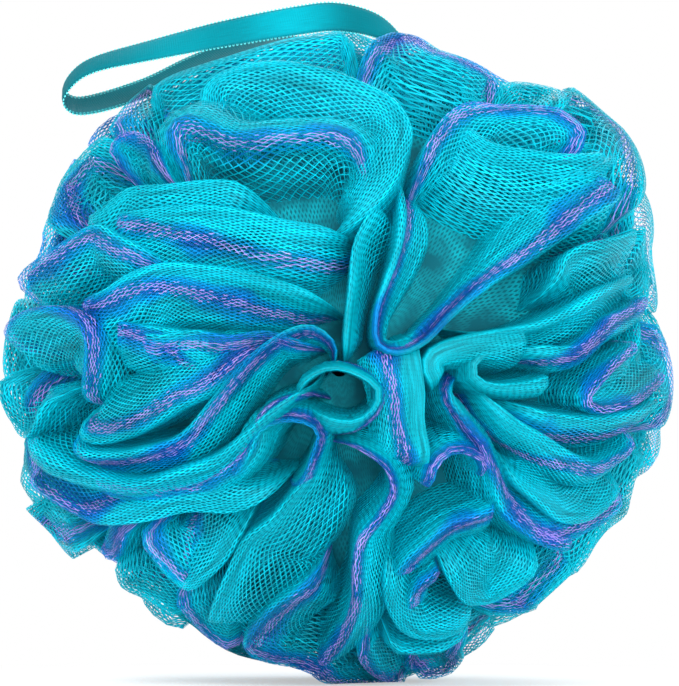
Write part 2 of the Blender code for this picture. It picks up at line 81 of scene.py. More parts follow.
# name, side of the broad face (1 is left of the way along the rim), width of the face, roundness
# of the rim, height above the ball, where the purple stripe runs beside the rim from its start to
# its end (None where there is none), how open the net is, and the rim as it was picked.
# All but the side and the openness are pixels of the photograph.
FRONT_FOLDS = [
    ("top_roll", -1, 45, 8, 4, (20, 90, 90, 90), 1.4,
     [(140, 106), (165, 88), (208, 67), (250, 55), (300, 48), (345, 42), (364, 46)]),
    ("top_right_roll", -1, 45, 6, 0, (8, 16), 1.0,
     [(352, 62), (372, 45), (400, 38), (440, 47), (478, 62), (498, 78), (506, 100)]),
    ("top_right_lump", -1, 30, 6, 0, None, 1.4,
     [(495, 82), (515, 78), (535, 88), (546, 104), (548, 122)]),
    ("right_peak", -1, 42, 6, 0, (38, 26), 1.4,
     [(545, 120), (553, 103), (569, 88), (592, 106), (620, 126), (640, 155), (645, 185),
      (640, 212)]),
    ("under_peak", -1, 20, 7, 0, None, 1.0,
     [(556, 112), (580, 120), (596, 142), (596, 162), (580, 174), (548, 180), (515, 178)]),
    ("shoulder", -1, 34, 5, 2, (6, 4), 1.1,
     [(418, 168), (428, 138), (446, 112), (478, 103), (515, 112), (548, 130), (568, 150),
      (566, 164)]),
    ("shoulder_low", -1, 62, 7, -2, None, 0.8,
     [(448, 126), (464, 119), (492, 137), (528, 157), (562, 166), (590, 165)]),
    ("centre_u", 1, (44, 32, 16, 46, 62), 10, 3, (22, 19, 9, 9, 10, 10), 0.8,
     [(402, 142), (403, 200), (399, 240), (385, 275), (374, 305), (378, 333), (399, 347),
      (424, 337), (450, 309), (485, 277), (532, 247), (580, 213), (612, 190), (642, 180)]),
    ("centre_left", 1, 30, 5, 0, None, 1.7,
     [(388, 183), (372, 205), (357, 235), (349, 280), (344, 325), (347, 362)]),
    ("bulge", 1, 40, 18, 7, (-9, -9), 1.6,
     [(172, 160), (180, 132), (203, 126), (240, 134), (290, 127), (335, 127), (360, 143),
      (374, 170)]),
    ("bulge_right", 1, (40, 40, 34, 30), 7, 5, None, 1.0,
     [(320, 224), (362, 209), (390, 183), (404, 155), (405, 128), (391, 105), (362, 86), (325, 77),
      (280, 74), (235, 80), (205, 94), (188, 118)]),
    ("left_2", -1, 52, 8, -2, (2, 26, 34, 44), 0.9,
     [(95, 217), (140, 205), (190, 200), (240, 206), (290, 216), (340, 222), (362, 212)]),
    ("left_3", -1, 50, 8, -1, (0, 10, 26, 34, 30), 0.9,
     [(60, 303), (105, 287), (135, 270), (170, 260), (230, 264), (290, 276), (345, 298)]),
    ("left_3_edge", -1, 30, 5, 2, (10, 10), 1.6,
     [(128, 318), (160, 330), (195, 326), (232, 332), (268, 326), (304, 336), (330, 340)]),
    ("left_4", -1, 36, 6, 0, (10, 10), 1.0,
     [(22, 304), (30, 272), (60, 246), (96, 223), (125, 232), (165, 252)]),
    ("upper_left_roll", -1, 46, 6, 0, (24, 30), 1.1,
     [(60, 230), (54, 205), (62, 178), (80, 154), (105, 140), (128, 132)]),
    ("upper_left_tongue", -1, 20, 5, 0, (2, 2), 1.0,
     [(120, 165), (125, 142), (145, 133), (158, 145), (163, 168)]),
    ("upper_left_edge", -1, 40, 6, 0, (10, 14), 1.4,
     [(112, 138), (124, 118), (147, 93), (172, 78)]),
    ("left_1", -1, 36, 7, -3, None, 1.0,
     [(70, 218), (105, 205), (135, 188), (170, 182), (220, 178), (270, 180)]),
    ("pocket", -1, 44, 6, 2, (-8, -8), 1.0,
     [(8, 352), (25, 319), (55, 306), (80, 311), (92, 328), (93, 355), (85, 385), (74, 406)]),
    ("pocket_lower", 1, 52, 8, 2, (20, 2), 1.0,
     [(70, 395), (79, 419), (100, 432), (130, 430), (158, 415), (185, 398), (215, 380), (250, 352),
      (285, 328)]),
    ("pocket_tip", -1, 25, 5, 1, None, 1.5,
     [(62, 376), (52, 404), (38, 426), (17, 412), (5, 380), (6, 358)]),
    ("left_low_ridge", -1, 40, 6, -8, (4, 8, 60), 1.0,
     [(104, 314), (140, 320), (180, 324), (230, 338)]),
    ("hairpin", -1, 24, 6, 4, (9, 9), 0.8,
     [(58, 425), (93, 445), (138, 446), (183, 426), (223, 388), (253, 349), (286, 326), (312, 321),
      (334, 334), (337, 354), (324, 372)]),
    ("hairpin_lower", 1, 28, 8, 4, None, 1.0,
     [(326, 362), (312, 376), (290, 391), (258, 420), (220, 447), (180, 466), (140, 474),
      (95, 466), (55, 442), (18, 420)]),
    ("eye", 1, (10, 10, 14, 26, 34, 40), 5, 1, (90, 40, 8, 90), 1.0,
     [(296, 402), (304, 376), (330, 363), (358, 366), (374, 382), (370, 402), (348, 411),
      (322, 407), (300, 398)]),
    ("eye_left", 1, 22, 7, 0, (-4, -6), 1.0,
     [(330, 398), (308, 388), (285, 391), (265, 408), (250, 436), (232, 460), (203, 479),
      (160, 487), (110, 481), (70, 462)]),
    ("small_pocket", 1, 20, 5, 3, (8, 8), 0.8,
     [(222, 482), (248, 452), (262, 425), (285, 412), (304, 412), (317, 425), (315, 446),
      (302, 467), (282, 492)]),
    ("lower_left_3", -1, 26, 7, 1, (90, 60, 40, 6, 3), 1.0,
     [(296, 474), (268, 489), (230, 498), (190, 500), (150, 508), (115, 518), (85, 508), (52, 480),
      (24, 448)]),
    ("fan", 1, 46, 5, 2, (8, 10, 60, 90), 1.0,
     [(156, 518), (142, 528), (160, 552), (180, 578), (193, 584), (205, 570), (226, 550),
      (244, 527), (250, 506)]),
    ("lower_left_lump", 1, 40, 6, 0, (22, 22), 1.3,
     [(38, 494), (36, 510), (54, 533), (70, 546), (84, 542)]),
    ("lower_left_lump_2", 1, 30, 6, 0, (7, 7), 1.0,
     [(86, 544), (106, 556), (121, 549), (130, 522)]),
    ("lower_left_edge", 1, 34, 6, 0, None, 1.3,
     [(104, 552), (114, 567), (121, 586), (140, 596), (165, 612), (192, 626)]),
    ("lower_left_4", 1, 40, 6, 0, (6, 6), 1.0,
     [(172, 588), (181, 610), (198, 630), (222, 646), (246, 650)]),
    ("cup_left", 1, 70, 5, 3, None, 1.2,
     [(337, 440), (317, 455), (298, 482), (272, 508), (248, 533), (230, 560), (214, 598),
      (206, 634)]),
    ("cup", 1, 34, 7, 4, (2, 0), 0.9,
     [(322, 446), (345, 437), (368, 441), (386, 460), (389, 485), (378, 510), (362, 530),
      (358, 560), (354, 590), (345, 620), (325, 655), (312, 674)]),
    ("cup_floor", 1, 44, 8, -3, (12, 12), 1.3,
     [(332, 574), (305, 583), (275, 603), (252, 630), (243, 656)]),
    ("band_down", -1, (90, 70, 60), 5, 1, (34, 26, 22), 1.0,
     [(410, 318), (416, 348), (421, 380), (425, 412), (426, 442), (424, 472)]),
    ("small_right", 1, 46, 12, 1, None, 1.0,
     [(540, 322), (500, 326), (462, 330), (434, 340), (422, 354), (428, 372), (444, 392)]),
    ("strap", 1, 26, 7, 4, (-9, -12, 14, 12, 12), 1.0,
     [(476, 366), (452, 376), (448, 394), (462, 416), (478, 440), (490, 470), (502, 500),
      (524, 525), (558, 540), (592, 541)]),
    ("dark_hole", 1, 20, 7, 1, (6, 6), 1.3,
     [(428, 490), (433, 460), (447, 444), (466, 441), (480, 452), (486, 478)]),
    ("lens_lower", -1, 26, 9, 2, None, 1.0,
     [(452, 316), (480, 324), (525, 319), (565, 302), (605, 283), (652, 262)]),
    ("lens_right", 1, 40, 6, 1, None, 1.2,
     [(642, 226), (604, 236), (578, 243), (560, 254), (556, 272), (552, 294)]),
    ("right_3", -1, 22, 6, 1, (40, 3, 2, 2, 2), 1.0,
     [(498, 344), (536, 342), (572, 338), (610, 317), (645, 300), (668, 283)]),
    ("lip", 1, 20, 6, -3, None, 1.0,
     [(566, 366), (522, 376), (488, 378), (473, 365), (478, 349), (505, 338), (545, 329)]),
    ("right_loop", 1, 26, 8, 3, (0, 0), 1.0,
     [(658, 330), (638, 339), (615, 357), (592, 375), (583, 390), (592, 402), (610, 404),
      (638, 390), (674, 362)]),
    ("right_4", -1, 32, 7, -3, (22, 22), 1.3,
     [(505, 392), (545, 408), (590, 415), (630, 408), (672, 390)]),
    ("strap_right", -1, 26, 9, 4, (45, 40, 8, 2, 2), 1.0,
     [(480, 372), (492, 390), (508, 410), (535, 430), (566, 450), (597, 461), (624, 450),
      (650, 424)]),
    ("pocket_right", -1, 26, 7, 2, None, 1.0,
     [(640, 462), (630, 484), (610, 506), (584, 517), (555, 508), (530, 490), (511, 468),
      (512, 442)]),
    ("right_5", 1, 26, 6, 0, (12, 10), 1.0,
     [(520, 522), (558, 534), (595, 524), (622, 508), (644, 480)]),
    ("lower_right_edge", -1, 36, 6, 0, None, 1.3,
     [(652, 440), (657, 454), (645, 474), (641, 497), (633, 514), (610, 530), (582, 568),
      (548, 598)]),
    ("right_edge", -1, 32, 6, 0, (12, 12), 1.4,
     [(662, 305), (668, 326), (674, 350), (676, 398), (669, 425), (652, 440)]),
    ("right_edge_top", -1, 42, 6, 0, None, 1.5,
     [(636, 216), (650, 226), (653, 248), (661, 264), (662, 300)]),
    ("low_stripe", 1, 36, 8, 1, (8, 8), 1.0,
     [(512, 496), (480, 506), (450, 516), (420, 535), (402, 556), (397, 584)]),
    ("tongue", 1, 50, 6, 3, None, 0.8,
     [(440, 546), (452, 578), (470, 598), (487, 603), (508, 588), (530, 565), (550, 542)]),
    ("left_of_tongue", -1, 22, 5, -3, (5, 5), 1.0,
     [(408, 614), (412, 590), (428, 572), (448, 560)]),
    ("bottom_fold", 1, 26, 7, 0, None, 1.0,
     [(393, 545), (386, 575), (390, 605), (406, 622), (440, 631), (488, 627)]),
    ("bottom_right_edge", -1, 36, 6, 0, (24, 24), 1.3,
     [(592, 553), (562, 584), (541, 603), (536, 616), (500, 624), (478, 634)]),
    ("bottom_right_edge_2", -1, 30, 6, 0, (12, 12), 1.2,
     [(490, 630), (466, 648), (466, 662), (445, 676), (408, 676)]),
    ("bottom_edge", -1, 40, 6, 0, (12, 12), 1.2,
     [(420, 674), (395, 684), (360, 684), (325, 682), (310, 671), (278, 664), (250, 655),
      (224, 647)]),
    ("bottom_ripple", -1, 18, 6, -2, None, 1.0,
     [(380, 640), (405, 642), (440, 642), (482, 636)]),
    ("bottom_ripple_2", 1, 20, 5, -2, (4, 4), 1.0,
     [(372, 636), (362, 652), (378, 668), (396, 680)]),
]
# folds whose face falls at once and then runs level, as a cupped sheet's does
HOLLOW = ("cup_left", "centre_u", "pocket", "hairpin", "left_2", "left_3", "shoulder", "lens_lower",
          "right_loop", "cup_floor", "fan", "small_pocket", "dark_hole", "pocket_lower", "top_roll")
BROAD = ("band_down",)      # flat across, like a strap
PLUMP = ("bulge", "bulge_right", "tongue", "small_right", "lip")    # round, like a cushion
OUTLINE_FROM, OUTLINE_FULL = 46 * MM, 61 * MM   # from the ball's middle, where the lobes set in
OUTLINE_HALF = 63.5         # mm, half the width of the round that the lobes stand out from
# mm that the outline stands out beyond the round, or stays inside it, at each 10 degrees of it
# from the right, over the top and on round
LOBES = [-0.5, -2.9, -1.9, 5.1, 6.2, 5.6, 0.3, 2.4, 2.5, 3.3, 3.2, 2.5, 2.4, 1.8, 1.6, 0.1, 1.7,
         2.8, 3.2, 0.9, 3.5, 0.1, -1.1, -1.7, -1.9, -0.1, -1.4, 0.5, 0.3, 0.1, -3.9, -1.2, -0.8,
         -1.3, -1.7, 0.7]


def unit(v):
    return v / np.maximum(np.linalg.norm(v, axis=-1, keepdims=True), 1e-12)


def in_mm(pixels, places=0):
    """What was picked on the photograph, as millimetres on the ball it was picked on."""
    return np.round(np.asarray(pixels) * MM_PER_PIXEL, places)


RIM_AT_OUTLINE = math.radians(84.0)     # from the middle of the front, the rims of the outline
WANDER_FROM = 1.3                       # radians, where rims start to wander to and fro
WANDER = math.radians(7.0)


def seen_from_front(x, z):
    """The point of the unit ball that shows there. Rims of the outline wander back and forth."""
    u, v = x / MEASURED, z / MEASURED_UP
    rho = max(math.hypot(u, v), 1e-6)
    polar = min(math.asin(min(rho, 0.995)), RIM_AT_OUTLINE)
    around = math.atan2(v, u)
    near_outline = max(0.0, polar - WANDER_FROM) / 0.17
    polar += WANDER * near_outline * (
        math.sin(9 * around + 0.4) + 0.7 * math.sin(17 * around + 2))
    return np.array([u, -rho * math.cos(polar) / math.sin(polar), v])


def smooth_path(points, count):
    """Catmull-Rom curve through the points, at even steps along its length."""
    p = np.asarray(points, float)
    p = np.vstack([2 * p[0] - p[1], p, 2 * p[-1] - p[-2]])
    t = np.linspace(0.0, 1.0, 12, endpoint=False)[:, None]
    fine = [0.5 * (2 * b + (c - a) * t + (2 * a - 5 * b + 4 * c - d) * t ** 2
                   + (3 * b - a - 3 * c + d) * t ** 3)
            for a, b, c, d in zip(p[:-3], p[1:-2], p[2:-1], p[3:])]
    fine = np.vstack(fine + [p[-2][None]])
    run = np.concatenate([[0.0], np.cumsum(np.linalg.norm(np.diff(fine, axis=0), axis=1))])
    at = np.linspace(0.0, run[-1], count)
    return np.stack([np.interp(at, run, fine[:, k]) for k in range(fine.shape[1])], axis=1)


def room_beside(path, side):
    """How far each station may spread to that side before a bend makes it cross itself."""
    step = np.gradient(path, axis=0)
    ahead = unit(step)
    turn = np.gradient(ahead, axis=0) / np.linalg.norm(step, axis=1, keepdims=True)
    bend = np.einsum("ij,ij->i", turn, np.cross(unit(path), ahead)) * side
    room = np.where(bend > 1e-3, 0.85 / np.maximum(bend, 1e-3), 9.0)
    for _ in range(6):
        room = np.minimum(room, (np.roll(room, 1) + np.roll(room, -1)) / 2 + 0.01)
    return room


def ripple(seed, *at):
    """A smooth wander between -1 and 1, different for each seed."""
    rng = random.Random(seed)
    total = 0.0
    for _ in range(4):
        waves = sum(a * rng.uniform(-1, 1) for a in at)
        total = total + np.sin(waves + rng.uniform(0, 6.3))
    return total / 2.6


def smooth_step(low, high, value):
    t = np.clip((value - low) / (high - low), 0.0, 1.0)
    return t * t * (3 - 2 * t)


def through_knots(pieces):
    """Weights that turn a row of knots into a smooth row with that many points between each."""
    count = len(pieces) + 1
    rows = []
    for i, many in enumerate(pieces):
        for t in np.linspace(0.0, 1.0, many, endpoint=False):
            row = np.zeros(count)
            basis = ((-t + 2 * t ** 2 - t ** 3) / 2, (2 - 5 * t ** 2 + 3 * t ** 3) / 2,
                     (t + 4 * t ** 2 - 3 * t ** 3) / 2, (-t ** 2 + t ** 3) / 2)
            for k, part in zip(range(i - 1, i + 3), basis):
                row[min(max(k, 0), count - 1)] += part
            rows.append(row)
    rows.append(np.eye(count)[-1])
    return np.array(rows)


OUTER = through_knots([1, 1, 2, 2, 2, 2, 2, 2, 2, 2, 2, 2, 1, 1])
INNER = through_knots([1, 1, 1, 1, 1, 1, 1, 1, 1, 1, 1, 1])
netting_verts, netting_faces, netting_net, netting_stripe, netting_slots = [], [], [], [], []


def add_fold(number, name, side, face, rim, height, stripe, net, points, pole, layer=0, step=2.1):
    """One fold of the net as a sheet. Layer 1 is the next thickness of net lying inside it."""
    rng = random.Random(1000 + number)
    rough = smooth_path(points, 60)
    length = np.linalg.norm(np.diff(rough, axis=0), axis=1).sum() * MEASURED
    count = max(10, int(round(length / step)))
    path = smooth_path(points, count)
    out, reach = unit(path), np.linalg.norm(path, axis=1)
    ahead = unit(np.gradient(path, axis=0))
    left = unit(np.cross(out, ahead)) * side
    s = np.linspace(0.0, 1.0, count)
    run = s * length
    ends = np.minimum(s, 1 - s)

    # its section, rim to root on both sides: thin and steep by the gather, broad further out
    from_gather = np.degrees(np.arccos(np.clip(out @ pole, -1, 1)))
    far = smooth_step(THIN_UP_TO, FULL_FROM, from_gather)
    slim = 0.2 + 0.8 * smooth_step(0, END_SHARE, ends)
    r = rim * (0.28 + 0.3 * far) * slim
    f = np.interp(s, np.linspace(0, 1, np.size(face)), np.atleast_1d(face))
    d = FACE_DROP * (1.2 - 0.35 * far) * np.minimum(1.0, 0.4 + f / 8)
    d = d * (0.35 if name in BROAD else 1)
    f = f * (0.6 + 0.5 * far) * slim
    lean = (0.8 + 1.3 * ripple(number * 7 + 3, run * 0.07)) * (0.4 + 0.6 * far)
    if stripe is not None and min(stripe) < 0:
        lean = lean - 1.5 * min(stripe)
    limb = 1 - smooth_step(0.3, 0.6, np.abs(out[:, 1]))
    full = 0.85 if name in HOLLOW else 2.6 if name in PLUMP else 1.5 - 0.6 * limb
    full = full * 2.0 ** (0.9 * ripple(number * 7 + 4, run * 0.06))
    zero = 0 * r
    walls = [(-(r + lean) - 0.8, zero + 24), (-(r + lean), zero + 14), (-(r + 0.5 * lean), zero + 7),
             (-(r + 0.12 * lean), 2.0 * r + 1.6), (-0.95 * r, 1.0 * r + 0.3), (-0.5 * r, 0.25 * r),
             (0.1 * r, zero), (0.8 * r, 0.12 * r)]
    faces = [(r + q * f, 0.15 * r + d * q ** full) for q in (0.12, 0.3, 0.5, 0.7, 0.9)]
    roots = [(r + 1.06 * f, 1.5 * d), (r + 1.2 * f, 2.4 * d)]
    knots = np.stack([np.stack(pair, -1) for pair in walls + faces + roots], axis=1)
    rim_knot = 6
    if layer:
        knots, rim_knot = knots[:, 1:-1], 5
    weights = OUTER if layer == 0 else INNER
    section = np.einsum("mk,nkc->nmc", weights, knots)
    many = section.shape[1]
    middle = int(np.argmax(weights[:, rim_knot]))
    across, depth = section[..., 0], section[..., 1]
    broad = smooth_step(0.5, 5.0, across - r[:, None])
    bow = ripple(number * 7 + 1, run[:, None] * 0.12, across * 0.22)
    pleat = ripple(number * 7 + 2, run[:, None] * 0.05, across * 1.4)
    sunk = END_SINK * np.clip(1.0 - ends / END_SHARE, 0, 1) ** 2
    wander = ripple(number * 7 + layer, run * 0.14) * 0.6
    depth = depth + (UNDER_BY * layer + sunk - height + wander)[:, None]
    depth = depth + 1.0 * bow * broad + 0.2 * pleat
    before, after = room_beside(path, -side), room_beside(path, side)
    across = across - 0.6 * layer * np.tanh(across)
    angle = np.clip(across / MEASURED, -before[:, None], after[:, None])
    aim_at = out[:, None] * np.cos(angle)[..., None] + left[:, None] * np.sin(angle)[..., None]
    level = reach[:, None] * (1.0 - depth / MEASURED)
    edge = 1 - smooth_step(0.25, 0.55, np.abs(aim_at[..., 1]))
    level = level - 0.8 * edge * np.maximum(level - 0.99, 0)
    grid = BALL_HALF * aim_at * level[..., None]
    round_it = np.degrees(np.arctan2(grid[..., 2], grid[..., 0]))
    lobe = np.interp(round_it, np.arange(36) * 10, LOBES, period=360) / OUTLINE_HALF
    outer = smooth_step(OUTLINE_FROM, OUTLINE_FULL, np.hypot(grid[..., 0], grid[..., 2]))
    grid = BALL_CENTRE + grid * np.stack([1 + lobe * outer, 1 + 0 * lobe, 1 + lobe * outer], -1)
    grid[..., 2] = np.maximum(grid[..., 2], 0.15 * MM)

    # where each point lies on the flat net: drawn together at the rim, stretched on the face
    away = np.concatenate([np.zeros((count, 1)), np.cumsum(
        np.linalg.norm(np.diff(section, axis=1), axis=2), axis=1)], axis=1)
    away = away - away[:, middle:middle + 1]
    cell_long = CELL_LONG * rng.uniform(0.85, 1.2) * (0.7 + 0.3 * net)
    taut = smooth_step(1.5, 7.0, np.abs(away - 0.5)) * (
        0.55 + 0.45 * far[:, None] + 0.25 * ripple(number * 7 + 5, run * 0.1)[:, None])
    drawn = CELL_WIDE * (0.7 + 0.3 * far[:, None])
    cell_wide = drawn + (net * CELL_OPEN - drawn) * taut
    pace = 1.0 / cell_wide
    turns = np.concatenate([np.zeros((count, 1)), np.cumsum(
        (pace[:, 1:] + pace[:, :-1]) / 2 * np.diff(away, axis=1), axis=1)], axis=1)
    net_y = turns - turns[:, middle:middle + 1] + 0.21 * layer
    net_x = np.repeat((run / cell_long)[:, None], many, axis=1) + 0.37 * layer
    half = 0.5 * THREAD * np.sqrt(1 / cell_long ** 2 + pace ** 2)
    half = half + 1.5 * np.maximum(half - 0.2, 0)
    if stripe is None:
        lane = STRIPE_EVERY / 2 + 0.4 * net_y
    else:
        start = np.interp(s, np.linspace(0, 1, len(stripe)), stripe)
        lane = (away - start[:, None]) / STRIPE_CELL
        lane = lane + 1.2 * ripple(number * 7 + 6, run[:, None] * 0.16)
    if layer:
        lane = np.hypot(lane, 4.0) + (9 if net > 1.25 else 0)

    first = sum(len(v) for v in netting_verts)
    netting_verts.append(grid.reshape(-1, 3))
    netting_net.append(np.stack([net_x, net_y], axis=-1).reshape(-1, 2))
    netting_stripe.append(np.stack([lane, np.minimum(half, 0.42)], axis=-1).reshape(-1, 2))
    for i in range(count - 1):
        row = first + i * many
        for k in range(many - 1):
            quad = (row + k, row + k + 1, row + many + k + 1, row + many + k)
            netting_faces.append(quad if side < 0 else quad[::-1])
            netting_slots.append(layer)


def turned_to_back(p, degrees):
    """The same gather seen on the back, turned round the waist."""
    a = math.radians(degrees)
    return np.array([-(p[0] * math.cos(a) - p[2] * math.sin(a)), -p[1],
                     p[0] * math.sin(a) + p[2] * math.cos(a)])


BACK_TURN = 118.0           # degrees between the gathers of the back and of the front
SIDE_FOLDS = 21             # folds round the middle, between front and back
FRONT_STEPS = (2.1, 3.6)    # mm from one section of a fold to the next, in each thickness
BACK_STEP = 3.2
front_pole = unit(seen_from_front(*GATHER))
back_pole = turned_to_back(front_pole, BACK_TURN)
for number, (name, side, face, rim, height, stripe, net, picked) in enumerate(FRONT_FOLDS):
    face, rim, height = in_mm(face), in_mm(rim, 1), in_mm(height, 1)
    stripe = None if stripe is None else in_mm(stripe)
    path = [seen_from_front(*in_mm((x - PICKED_MIDDLE[0], PICKED_MIDDLE[1] - y)))
            for x, y in picked]
    behind = [turned_to_back(p, BACK_TURN) for p in path]
    for layer, step in enumerate(FRONT_STEPS):
        add_fold(number, name, side, face, rim, height, stripe, net, path, front_pole, layer, step)
    add_fold(100 + number, name, side, face, rim, height, stripe, net, behind, back_pole, 0,
             BACK_STEP)

rng = random.Random(11)
for k in range(SIDE_FOLDS):
    around = 2 * math.pi * (k + 0.4 * rng.uniform(-1, 1)) / SIDE_FOLDS
    swing, phase = math.radians(rng.uniform(7, 14)), rng.uniform(0, 2 * math.pi)
    start, curl = rng.uniform(56, 74), rng.uniform(0.8, 1.25)
    path = []
    for j in range(8):
        polar = math.radians(start + 8.4 * j)
        turn = around + swing * math.sin(phase + curl * j)
        path.append(np.array([math.sin(polar) * math.cos(turn), -math.cos(polar),
                              math.sin(polar) * math.sin(turn)]))
    face, rim = rng.uniform(8, 13), rng.uniform(1.3, 2.2)
    stripe = [rng.uniform(-3, 3), rng.uniform(3, 12), rng.uniform(16, 22)] if k % 2 else None
    for layer in (0, 1):
        add_fold(300 + k, "side", 1 if k % 3 else -1, face, rim, rng.uniform(-4.5, -2.5), stripe,
                 1.2, path, front_pole, layer, 2.4 + layer)

first = sum(len(v) for v in netting_verts)
ROUND, OVER = 72, 48
ring = np.linspace(0, 2 * math.pi, ROUND, endpoint=False)[None, :]
polar = np.linspace(0.03, math.pi - 0.03, OVER)[:, None]
inner = np.stack([np.sin(polar) * np.cos(ring), -np.cos(polar) + 0 * ring,
                  np.sin(polar) * np.sin(ring)], axis=-1)
lump = ripple(5, 6 * inner[..., 0], 6 * inner[..., 1], 6 * inner[..., 2])
inner = BALL_CENTRE + BALL_HALF * inner * (1 - (CORE_DEPTH + 1.5 * lump) / MEASURED)[..., None]
netting_verts.append(inner.reshape(-1, 3))
cells = np.stack([(polar * 20 + 0 * ring), (ring * 44 + 0 * polar)], axis=-1)
netting_net.append(cells.reshape(-1, 2))
netting_stripe.append(np.stack([18 + 0 * cells[..., 0], 0.2 + 0 * cells[..., 0]],
                               axis=-1).reshape(-1, 2))
for i in range(OVER - 1):
    for k in range(ROUND):
        m = (k + 1) % ROUND
        netting_faces.append((first + i * ROUND + k, first + i * ROUND + m,
                              first + (i + 1) * ROUND + m, first + (i + 1) * ROUND + k))
        netting_slots.append(2)

netting_mesh = bpy.data.meshes.new("netting_sheet")
netting_mesh.from_pydata(np.vstack(netting_verts).tolist(), [], netting_faces)
corner = np.empty(len(netting_mesh.loops), np.int32)
netting_mesh.loops.foreach_get("vertex_index", corner)
for layer_name, values in (("net", netting_net), ("stripe", netting_stripe)):
    uv = netting_mesh.uv_layers.new(name=layer_name)
    uv.data.foreach_set("uv", np.vstack(values)[corner].astype(np.float32).ravel())
netting_mesh.shade_smooth()
netting = bpy.data.objects.new("netting_folds", netting_mesh)
bpy.context.scene.collection.objects.link(netting)


def linear(hex_colour):
    """An sRGB colour such as 00A8B4 as the linear values that a shader takes."""
    parts = [int(hex_colour[i:i + 2], 16) / 255 for i in (0, 2, 4)]
    return [c / 12.92 if c <= 0.04045 else ((c + 0.055) / 1.055) ** 2.4 for c in parts] + [1.0]


def add_node(tree, kind, links=(), **settings):
    """A node with its settings, and each (socket, value or output) pair put in."""
    node = tree.nodes.new(kind)
    for key, value in settings.items():
        setattr(node, key, value)
    for socket, value in links:
        if isinstance(value, bpy.types.NodeSocket):
            tree.links.new(value, node.inputs[socket])
        else:
            node.inputs[socket].default_value = value
    return node


def new_material(name):
    made = bpy.data.materials.new(name)
    made.use_nodes = True
    made.node_tree.nodes.clear()
    return made, made.node_tree


def maths(tree, operation, a, b=0.0):
    return add_node(tree, "ShaderNodeMath", ((0, a), (1, b)), operation=operation).outputs[0]


def net_pattern(tree):
    """1 on a thread and 0 in a hole of the net, from the flat net's own coordinates."""
    where = add_node(tree, "ShaderNodeUVMap", uv_map="net").outputs[0]
    flat = add_node(tree, "ShaderNodeSeparateXYZ", ((0, where),))
    beside = add_node(tree, "ShaderNodeUVMap", uv_map="stripe").outputs[0]
    lane = add_node(tree, "ShaderNodeSeparateXYZ", ((0, beside),))
    wobble = add_node(tree, "ShaderNodeTexNoise", (("Vector", where), ("Scale", 0.12),
                                                   ("Detail", 1.0)))
    shaken = add_node(tree, "ShaderNodeSeparateColor", ((0, wobble.outputs[1]),))
    x = maths(tree, "ADD", flat.outputs[0], maths(tree, "MULTIPLY", shaken.outputs[0], 2.0))
    y = maths(tree, "ADD", flat.outputs[1], maths(tree, "MULTIPLY", shaken.outputs[1], 2.0))
    # a purple thread is a finer one, so its part of the net is the more open
    thread = maths(tree, "MULTIPLY", lane.outputs[1], add_node(
        tree, "ShaderNodeMapRange", ((0, maths(tree, "PINGPONG", lane.outputs[0],
                                                STRIPE_EVERY / 2)),
                                     (1, 2.0), (2, 4.5), (3, 0.55), (4, 1.08))).outputs[0])
    lines = []
    for way in ("ADD", "SUBTRACT"):
        cell = maths(tree, "FRACT", maths(tree, way, x, y))
        off = maths(tree, "ABSOLUTE", maths(tree, "SUBTRACT", cell, 0.5))
        shade = add_node(tree, "ShaderNodeMapRange",
                         ((0, off), (1, maths(tree, "SUBTRACT", thread, 0.035)),
                          (2, maths(tree, "ADD", thread, 0.035)), (3, 1.0), (4, 0.0)),
                         interpolation_type="SMOOTHSTEP")
        lines.append(shade.outputs[0])
    return maths(tree, "MAXIMUM", *lines), lane.outputs, where


